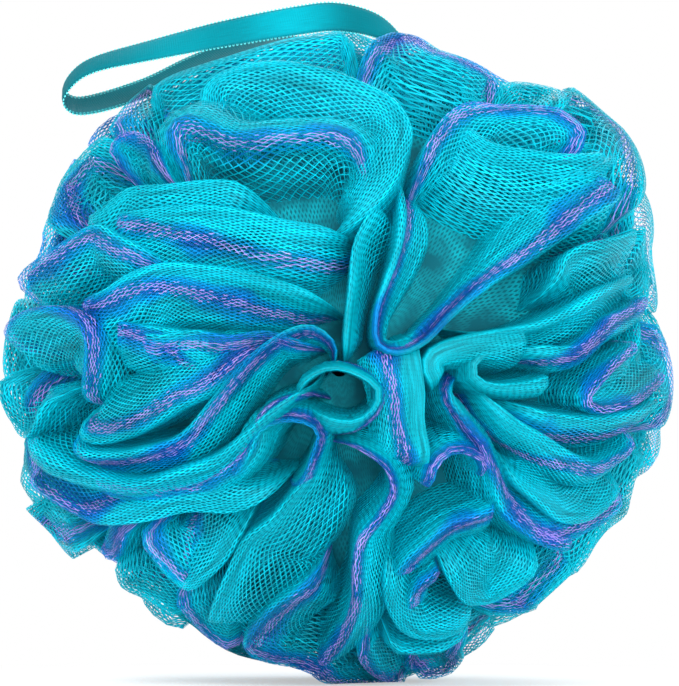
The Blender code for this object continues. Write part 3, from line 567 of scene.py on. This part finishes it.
def stripe_colour(tree, lane, half, where, teal, azure, blue, purple):
    """Blue stripes along the tube, which melt into the teal and carry short lilac threads."""
    off = maths(tree, "PINGPONG", lane, STRIPE_EVERY / 2)
    place = add_node(tree, "ShaderNodeTexCoord").outputs["Object"]
    bled = add_node(tree, "ShaderNodeTexNoise", (("Vector", place), ("Scale", 60.0)))
    bled = add_node(tree, "ShaderNodeMapRange", ((0, bled.outputs[0]), (1, 0.35), (2, 0.65),
                                                 (3, 0.55), (4, 1.7))).outputs[0]
    ramp = add_node(tree, "ShaderNodeValToRGB",
                    ((0, maths(tree, "DIVIDE", maths(tree, "MULTIPLY", off, bled),
                               STRIPE_EVERY / 2)),))
    stops = ramp.color_ramp
    stops.interpolation = "EASE"
    for at, colour in ((0.0, blue), (0.045, blue), (0.12, azure), (0.27, teal)):
        stop = stops.elements.new(at) if at else stops.elements[0]
        stop.color = linear(colour)
    stops.elements[-1].color = linear(teal)
    along = add_node(tree, "ShaderNodeVectorMath", ((0, where), (1, (0.45, 1.5, 1.0))),
                     operation="MULTIPLY").outputs[0]
    streak = add_node(tree, "ShaderNodeTexNoise", (("Vector", along), ("Scale", 1.0),
                                                   ("Detail", 1.0))).outputs[0]
    # the lilac threads lie thickest in the middle of a stripe, and where the net is open
    near = add_node(tree, "ShaderNodeMapRange", ((0, off), (1, 0.8), (2, 4.2), (3, 0.16),
                                                 (4, -0.25))).outputs[0]
    tight = add_node(tree, "ShaderNodeMapRange", ((0, half), (1, 0.1), (2, 0.3), (3, 0.06),
                                                  (4, -0.08))).outputs[0]
    much = maths(tree, "ADD", maths(tree, "ADD", streak, near), tight)
    much = add_node(tree, "ShaderNodeMapRange", ((0, much), (1, 0.57), (2, 0.66)),
                    interpolation_type="SMOOTHSTEP").outputs[0]
    mixed = add_node(tree, "ShaderNodeMix", ((0, much), (6, ramp.outputs[0]),
                                             (7, linear(purple))), data_type="RGBA").outputs[2]
    # threads lie in bunches along the fold, lighter and darker; the colour is also darker where the
    # net is drawn together at the rims and a little lighter on the open faces, painted shade on the
    # lit rims and painted light on the faces
    bunch = add_node(tree, "ShaderNodeMapRange", ((0, streak), (1, 0.3), (2, 0.7), (3, 0.75),
                                                  (4, 1.15))).outputs[0]
    drawn = add_node(tree, "ShaderNodeMapRange", ((0, half), (1, 0.17), (2, 0.36), (3, 1.08),
                                                  (4, 0.74))).outputs[0]
    strand = add_node(tree, "ShaderNodeVectorMath", ((0, where), (1, (0.1, 0.55, 1.0))),
                      operation="MULTIPLY").outputs[0]
    strand = add_node(tree, "ShaderNodeTexNoise", (("Vector", strand), ("Scale", 1.0),
                                                   ("Detail", 2.0), ("Roughness", 0.7))).outputs[0]
    strand = add_node(tree, "ShaderNodeMapRange", ((0, strand), (1, 0.34), (2, 0.66), (3, 0.66),
                                                   (4, 1.3))).outputs[0]
    bunch = maths(tree, "MULTIPLY", maths(tree, "MULTIPLY", bunch, drawn), strand)
    return add_node(tree, "ShaderNodeVectorMath", ((0, mixed), (3, bunch)),
                    operation="SCALE").outputs[0]


def net_of(name, teal, azure, blue, purple, seen_through):
    """One thickness of the net: its threads in their colours, and nothing in its holes."""
    made, tree = new_material(name)
    pattern, (lane, half, _), where = net_pattern(tree)
    colour = stripe_colour(tree, lane, half, where, teal, azure, blue, purple)
    cast = add_node(tree, "ShaderNodeTexNoise",
                    (("Vector", add_node(tree, "ShaderNodeTexCoord").outputs["Object"]),
                     ("Scale", 45.0), ("Detail", 2.0)))
    cast = add_node(tree, "ShaderNodeMapRange", ((0, cast.outputs[0]), (1, 0.3), (2, 0.7),
                                                 (3, 0.82), (4, 1.1)))
    colour = add_node(tree, "ShaderNodeVectorMath", ((0, colour), (3, cast.outputs[0])),
                      operation="SCALE").outputs[0]
    bump = add_node(tree, "ShaderNodeBump", (("Height", pattern), ("Distance", 0.00015),
                                             ("Strength", 0.5)))
    threads = add_node(tree, "ShaderNodeBsdfPrincipled",
                       (("Base Color", colour), ("Roughness", 0.45),
                        ("Specular IOR Level", 0.1), ("Normal", bump.outputs[0])))
    glow = add_node(tree, "ShaderNodeBsdfTranslucent", ((0, colour),))
    body = add_node(tree, "ShaderNodeMixShader", ((0, seen_through), (1, threads.outputs[0]),
                                                  (2, glow.outputs[0])))
    hole = add_node(tree, "ShaderNodeBsdfTransparent")
    mixed = add_node(tree, "ShaderNodeMixShader", ((0, pattern), (1, hole.outputs[0]),
                                                   (2, body.outputs[0])))
    add_node(tree, "ShaderNodeOutputMaterial", ((0, mixed.outputs[0]),))
    netting_mesh.materials.append(made)


# knitted nylon net: what gives it its look is the open diamonds between thin glossy threads, so
# that the layers and the light behind show through
net_of("knitted_nylon_net", "00C2D6", "008ED6", "1C60CE", "AC98F2", 0.42)
# the next thickness of the same net, which is seen through the holes of the first in its shade: the
# same net in darker colours, painted shade
net_of("knitted_nylon_net_under_painted_shade", "0092A8", "006CAE", "08489E", "3050B0", 0.35)

# the same net many layers deep, where the folds close up; its dark teal is painted shade deep in the
# folds, and nothing shows through
deep_painted_shade_material, tree = new_material("knitted_nylon_net_deep_painted_shade")
pattern = net_pattern(tree)[0]
patch = add_node(tree, "ShaderNodeTexNoise",
                 (("Vector", add_node(tree, "ShaderNodeTexCoord").outputs["Object"]),
                  ("Scale", 130.0), ("Detail", 3.0)))
patch = add_node(tree, "ShaderNodeMapRange", ((0, patch.outputs[0]), (1, 0.4), (2, 0.62)))
shade = add_node(tree, "ShaderNodeMix", ((0, maths(tree, "MULTIPLY", pattern, patch.outputs[0])),
                                         (6, linear("00525E")), (7, linear("008894"))),
                 data_type="RGBA")
threads = add_node(tree, "ShaderNodeBsdfPrincipled",
                   (("Base Color", shade.outputs[2]), ("Roughness", 0.7),
                    ("Specular IOR Level", 0.1)))
add_node(tree, "ShaderNodeOutputMaterial", ((0, threads.outputs[0]),))
netting_mesh.materials.append(deep_painted_shade_material)
netting_mesh.polygons.foreach_set("material_index", np.array(netting_slots, np.int32))

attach(netting, "root")
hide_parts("netting")


# Waist tie. A twisted nylon cord, drawn tight round the middle of the netting, deep between its
# two halves. Its solid already has the cord's round, so here it only gets its twist.
tie_material, tree = new_material("twisted_nylon_cord")
place = add_node(tree, "ShaderNodeTexCoord").outputs["Object"]
twist = add_node(tree, "ShaderNodeTexWave", (("Vector", place), ("Scale", 900.0),
                                             ("Distortion", 1.0)))
bump = add_node(tree, "ShaderNodeBump", (("Height", twist.outputs[1]), ("Distance", 0.0002)))
cord_shader = add_node(tree, "ShaderNodeBsdfPrincipled",
                       (("Base Color", linear("007C86")), ("Roughness", 0.6),
                        ("Normal", bump.outputs[0])))
add_node(tree, "ShaderNodeOutputMaterial", ((0, cord_shader.outputs[0]),))
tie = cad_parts["centre_tie"]
tie.data.materials.clear()
tie.data.materials.append(tie_material)


# Hanging ribbon. One length of 6.35 mm satin ribbon with a picot edge: up from the tie, out
# between the folds at the top, over to the left, round a soft bend and back down to the tie.
RIBBON_WIDE, RIBBON_THICK = 6.35 * MM, 0.5 * MM
RIBBON_CUP = 0.25 * MM      # how far its edges curl up
RIBBON_ROOT = 11.6          # mm, where its ends meet the tie, above the middle of the ball
UP, TILT = (1, 0, 0), (0, 0.84, 0.54)
RIBBON_STOPS = [            # middle line in mm from the middle of the ball, way of its width
    ((0, -0.9, RIBBON_ROOT), UP), ((1, -1.6, 26), UP), ((4, -1.8, 42), UP),
    ((9, -2.0, 54), (0.6, 0.75, 0)), ((12.0, -3.0, 61), (0.25, 0.95, 0.1)),
    ((8.0, -5.0, 65.4), (0.1, 0.7, 0.7)), ((0, -7.5, 67.4), (0, 0.5, 0.85)),
    ((-8, -9, 66.7), (0, 0.5, 0.85)), ((-23, -10, 64.0), (0, 0.62, 0.78)),
    ((-37, -9, 60.9), (0, 0.8, 0.6)), ((-46.5, -8, 58.6), (0, 0.88, 0.48)),
    ((-51, -6.8, 56.2), (0, 0.88, 0.48)), ((-53.4, -5.5, 52.6), (0, 0.88, 0.48)),
    ((-51.5, -4.4, 50.2), TILT), ((-46.5, -3.0, 50.6), TILT), ((-37, 1, 53.8), TILT),
    ((-28, 5, 58.2), TILT), ((-18.4, 8.5, 61.8), TILT), ((-8, 8.5, 62.5), (0.2, 0.9, 0.3)),
    ((1, 5.5, 58), (0.8, 0.6, 0)), ((3, 2.2, 46), UP), ((2, 1.6, 28), UP),
    ((0, 0.9, RIBBON_ROOT), UP)]
RIBBON_SCALE = BALL_HALF[0] / (MEASURED * MM)
stops = np.array([list(np.array(p) * MM * RIBBON_SCALE) + list(w) for p, w in RIBBON_STOPS])
stops[0, 2] = stops[-1, 2] = RIBBON_ROOT * MM
RIBBON_ROWS, RIBBON_COLUMNS = 260, 9
line = smooth_path(stops[:, :3], RIBBON_ROWS)
run = np.concatenate([[0], np.cumsum(np.linalg.norm(np.diff(stops[:, :3], axis=0), axis=1))])
at = np.linspace(0, run[-1], RIBBON_ROWS)
wide = np.stack([np.interp(at, run, stops[:, 3 + k]) for k in range(3)], axis=1)
for _ in range(12):
    wide[1:-1] = (wide[:-2] + 2 * wide[1:-1] + wide[2:]) / 4
ahead = unit(np.gradient(line, axis=0))
wide = unit(wide - ahead * np.einsum("ij,ij->i", wide, ahead)[:, None])
face_out = unit(np.cross(ahead, wide))
line = line + BALL_CENTRE
ribbon_length = float(np.linalg.norm(np.diff(line, axis=0), axis=1).sum())
verts, faces, flats = [], [], []
for side in (1, -1):
    for i in range(RIBBON_ROWS):
        for k in range(RIBBON_COLUMNS):
            f = -1 + 2 * k / (RIBBON_COLUMNS - 1)
            cup = RIBBON_CUP * f * f
            thick = RIBBON_THICK / 2 * (0.35 if abs(f) == 1 else 0.6)
            verts.append(tuple(line[i] + wide[i] * f * RIBBON_WIDE / 2
                               + face_out[i] * (cup + side * thick)))
            flats.append((i / (RIBBON_ROWS - 1) * ribbon_length / MM, f * RIBBON_WIDE / 2 / MM))


def at_corner(side, i, k):
    return (0 if side > 0 else RIBBON_ROWS * RIBBON_COLUMNS) + i * RIBBON_COLUMNS + k


for i in range(RIBBON_ROWS - 1):
    for k in range(RIBBON_COLUMNS - 1):
        for side in (1, -1):
            quad = [at_corner(side, i, k), at_corner(side, i, k + 1),
                    at_corner(side, i + 1, k + 1), at_corner(side, i + 1, k)]
            faces.append(quad[::-1] if side > 0 else quad)
    for k in (0, RIBBON_COLUMNS - 1):
        quad = [at_corner(1, i, k), at_corner(1, i + 1, k),
                at_corner(-1, i + 1, k), at_corner(-1, i, k)]
        faces.append(quad[::-1] if k == 0 else quad)
ribbon_mesh = bpy.data.meshes.new("hanging_ribbon_satin")
ribbon_mesh.from_pydata(verts, [], faces)
uv = ribbon_mesh.uv_layers.new(name="flat")
for loop in ribbon_mesh.loops:
    uv.data[loop.index].uv = flats[loop.vertex_index]
ribbon_mesh.shade_smooth()
ribbon = bpy.data.objects.new("satin_ribbon", ribbon_mesh)
bpy.context.scene.collection.objects.link(ribbon)

# satin: long smooth floats of thread along the ribbon give broad soft highlights, and the fine
# cross ribs of its back show where the loop turns over
satin, tree = new_material("satin_ribbon_weave")
where = add_node(tree, "ShaderNodeUVMap", uv_map="flat").outputs[0]
flat = add_node(tree, "ShaderNodeSeparateXYZ", ((0, where),))
rib = maths(tree, "SINE", maths(tree, "MULTIPLY", flat.outputs[0], 2 * math.pi / 0.45))
grain = add_node(tree, "ShaderNodeTexNoise", (("Vector", add_node(
    tree, "ShaderNodeVectorMath", ((0, where), (1, (0.25, 9.0, 1.0))),
    operation="MULTIPLY").outputs[0]), ("Scale", 1.0), ("Detail", 2.0)))
height = maths(tree, "ADD", maths(tree, "MULTIPLY", rib, 0.35), grain.outputs[0])
bump = add_node(tree, "ShaderNodeBump", (("Height", height), ("Distance", 0.00006),
                                         ("Strength", 0.6)))
tone = add_node(tree, "ShaderNodeMapRange", ((0, grain.outputs[0]), (1, 0.3), (2, 0.7),
                                             (3, 0.85), (4, 1.08)))
edge = add_node(tree, "ShaderNodeMapRange",
                ((0, maths(tree, "ABSOLUTE", flat.outputs[1])), (1, 2.6), (2, 3.1), (3, 1.0),
                 (4, 0.78)))
# painted sheen: the satin's colour is made lighter along the ribbon where it leans to the light and
# darker where it turns away
painted_sheen = add_node(tree, "ShaderNodeValToRGB",
                 ((0, maths(tree, "DIVIDE", flat.outputs[0], ribbon_length / MM)),))
painted_sheen.color_ramp.interpolation = "EASE"
for at, grey in ((0.22, 0.5), (0.27, 0.36), (0.325, 0.8), (0.38, 0.48), (0.42, 0.55), (0.49, 0.38),
                 (0.56, 0.32)):
    painted_sheen.color_ramp.elements.new(at).color = (grey, grey, grey, 1.0)
for end in (0, -1):
    painted_sheen.color_ramp.elements[end].color = (0.3, 0.3, 0.3, 1.0)
tone = maths(tree, "MULTIPLY", tone.outputs[0], edge.outputs[0])
tone = maths(tree, "MULTIPLY", tone, maths(tree, "MULTIPLY", painted_sheen.outputs[0], 1.12))
dye_and_sheen = add_node(tree, "ShaderNodeVectorMath", ((0, linear("0094A4")[:3]), (3, tone)),
               operation="SCALE").outputs[0]
weave = add_node(tree, "ShaderNodeBsdfPrincipled",
                 (("Base Color", dye_and_sheen), ("Roughness", 0.45), ("Specular IOR Level", 0.03),
                  ("Anisotropic", 0.5), ("Normal", bump.outputs[0])))
add_node(tree, "ShaderNodeOutputMaterial", ((0, weave.outputs[0]),))
ribbon_mesh.materials.append(satin)

# its picot edge: the weft comes out of each edge in tiny loops, lighter than the satin
PICOT_PITCH, PICOT_OUT, PICOT_THREAD = 0.75 * MM, 0.4 * MM, 0.26 * MM
PICOT_IN = 0.15 * MM        # how far inside the edge the loops are rooted
picot_thread, tree = new_material("picot_edge_thread")
loop_shader = add_node(tree, "ShaderNodeBsdfPrincipled",
                       (("Base Color", linear("5CD8DC")), ("Roughness", 0.5),
                        ("Specular IOR Level", 0.3)))
add_node(tree, "ShaderNodeOutputMaterial", ((0, loop_shader.outputs[0]),))
edge_verts, edge_lines = [], []
for way in (1, -1):
    first = len(edge_verts)
    edge_verts += [tuple(line[i] + way * wide[i] * (RIBBON_WIDE / 2 - PICOT_IN)
                         + face_out[i] * RIBBON_CUP) for i in range(RIBBON_ROWS)]
    edge_lines += [(first + i, first + i + 1) for i in range(RIBBON_ROWS - 1)]
picot_mesh = bpy.data.meshes.new("picot_edges")
picot_mesh.from_pydata(edge_verts, edge_lines, [])
outward = picot_mesh.attributes.new("outward", "FLOAT_VECTOR", "POINT")
outward.data.foreach_set("vector", np.vstack([wide, -wide]).astype(np.float32).ravel())
picot = bpy.data.objects.new("picot_edges", picot_mesh)
bpy.context.scene.collection.objects.link(picot)
tree = bpy.data.node_groups.new("picot_loops", "GeometryNodeTree")
tree.interface.new_socket("Geometry", in_out="INPUT", socket_type="NodeSocketGeometry")
pitch_in = tree.interface.new_socket("Pitch", in_out="INPUT", socket_type="NodeSocketFloat")
tree.interface.new_socket("Geometry", in_out="OUTPUT", socket_type="NodeSocketGeometry")
given = add_node(tree, "NodeGroupInput")
edge_curve = add_node(tree, "GeometryNodeMeshToCurve", (("Mesh", given.outputs[0]),))
spaced = add_node(tree, "GeometryNodeResampleCurve",
                  (("Curve", edge_curve.outputs[0]), ("Length", given.outputs["Pitch"])),
                  mode="LENGTH")
loop_line = add_node(tree, "GeometryNodeCurvePrimitiveCircle",
                     (("Resolution", 8), ("Radius", PICOT_OUT)))
thread_line = add_node(tree, "GeometryNodeCurvePrimitiveCircle",
                       (("Resolution", 4), ("Radius", PICOT_THREAD / 2)))
loop_solid = add_node(tree, "GeometryNodeCurveToMesh", (("Curve", loop_line.outputs[0]),
                                                       ("Profile Curve", thread_line.outputs[0])))
way_out = add_node(tree, "GeometryNodeInputNamedAttribute", (("Name", "outward"),),
                   data_type="FLOAT_VECTOR")
faced = add_node(tree, "FunctionNodeAlignEulerToVector", (("Vector", way_out.outputs[0]),),
                 axis="X")
faced = add_node(tree, "FunctionNodeAlignEulerToVector",
                 (("Rotation", faced.outputs[0]),
                  ("Vector", add_node(tree, "GeometryNodeInputTangent").outputs[0])),
                 axis="Y", pivot_axis="X")
placed = add_node(tree, "GeometryNodeInstanceOnPoints",
                  (("Points", spaced.outputs[0]), ("Instance", loop_solid.outputs[0]),
                   ("Rotation", faced.outputs[0]), ("Scale", (1.0, 0.5, 1.0))))
whole = add_node(tree, "GeometryNodeRealizeInstances", (("Geometry", placed.outputs[0]),))
dressed = add_node(tree, "GeometryNodeSetMaterial", (("Geometry", whole.outputs[0]),
                                                     ("Material", picot_thread)))
add_node(tree, "NodeGroupOutput", ((0, dressed.outputs[0]),))
maker = picot.modifiers.new("picot_loops", "NODES")
maker.node_group = tree
maker[pitch_in.identifier] = PICOT_PITCH
bpy.context.view_layer.update()
graph = bpy.context.evaluated_depsgraph_get()
picot_made = bpy.data.meshes.new_from_object(picot.evaluated_get(graph),
                                             preserve_all_data_layers=True, depsgraph=graph)
picot.modifiers.remove(maker)
picot.data = picot_made
print("picot loops", len(picot_made.polygons) * 2, "triangles")
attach(picot, "root")
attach(ribbon, "root")
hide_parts("hanging_ribbon")
print("ribbon length", round(ribbon_length * 1000, 1), "mm")


# Floor, backdrop and soft studio light: a wide soft source high on the left, another low in front
# of the pouf, and an even pale surround that fills the folds.
FLOOR_REACH = 6.0
FADE_FROM, FADE_TO = 0.03, 0.1      # from the middle, where the floor fades into the backdrop
FADE_LEAST = 0.45                   # the share of plain white in it under the ball
floor_mesh = bpy.data.meshes.new("floor")
floor_mesh.from_pydata([(-FLOOR_REACH, -FLOOR_REACH, 0), (FLOOR_REACH, -FLOOR_REACH, 0),
                        (FLOOR_REACH, FLOOR_REACH, 0), (-FLOOR_REACH, FLOOR_REACH, 0)],
                       [], [(0, 1, 2, 3)])
floor = bpy.data.objects.new("floor", floor_mesh)
bpy.context.scene.collection.objects.link(floor)
floor_material, tree = new_material("pale_floor")
paint = add_node(tree, "ShaderNodeBsdfPrincipled",
                 (("Base Color", (0.96, 0.96, 0.96, 1)), ("Roughness", 0.9),
                  ("Specular IOR Level", 0.0)))
blank = add_node(tree, "ShaderNodeEmission", ((0, (1, 1, 1, 1)), (1, 1.0)))
from_middle = add_node(tree, "ShaderNodeVectorMath", ((0, add_node(
    tree, "ShaderNodeTexCoord").outputs["Object"]),), operation="LENGTH")
fade = add_node(tree, "ShaderNodeMapRange", ((0, from_middle.outputs["Value"]),
                                             (1, FADE_FROM), (2, FADE_TO), (3, FADE_LEAST),
                                             (4, 1.0)),
                interpolation_type="SMOOTHSTEP")
fade = maths(tree, "MULTIPLY", fade.outputs[0],
             add_node(tree, "ShaderNodeLightPath").outputs["Is Camera Ray"])
ground = add_node(tree, "ShaderNodeMixShader", ((0, fade), (1, paint.outputs[0]),
                                                (2, blank.outputs[0])))
add_node(tree, "ShaderNodeOutputMaterial", ((0, ground.outputs[0]),))
floor_mesh.materials.append(floor_material)


def soft_light(name, place, size, power):
    light = bpy.data.lights.new(name, "AREA")
    light.shape, light.size, light.energy = "DISK", size, power
    made = bpy.data.objects.new(name, light)
    made.location = Vector(place)
    made.rotation_euler = (Vector((0, 0, 0.06)) - made.location).to_track_quat(
        "-Z", "Y").to_euler()
    bpy.context.scene.collection.objects.link(made)


soft_light("key", (-0.5, -0.9, 1.0), 0.7, 10.5)
soft_light("fill", (0.4, -1.1, 0.2), 0.8, 15.0)
soft_light("back", (0.1, 0.9, 0.9), 0.7, 6.0)

world = bpy.data.worlds.new("surround")
world.use_nodes = True
bpy.context.scene.world = world
tree = world.node_tree
tree.nodes.clear()
seen = add_node(tree, "ShaderNodeLightPath")
plain = add_node(tree, "ShaderNodeBackground", ((0, (1, 1, 1, 1)), (1, 1.22)))
white = add_node(tree, "ShaderNodeBackground", ((0, (1, 1, 1, 1)), (1, 1.0)))
either = add_node(tree, "ShaderNodeMixShader",
                  ((0, seen.outputs["Is Camera Ray"]), (1, plain.outputs[0]),
                   (2, white.outputs[0])))
add_node(tree, "ShaderNodeOutputWorld", ((0, either.outputs[0]),))
bpy.context.scene.view_settings.view_transform = "Standard"
bpy.context.scene.cycles.transparent_max_bounces = 16
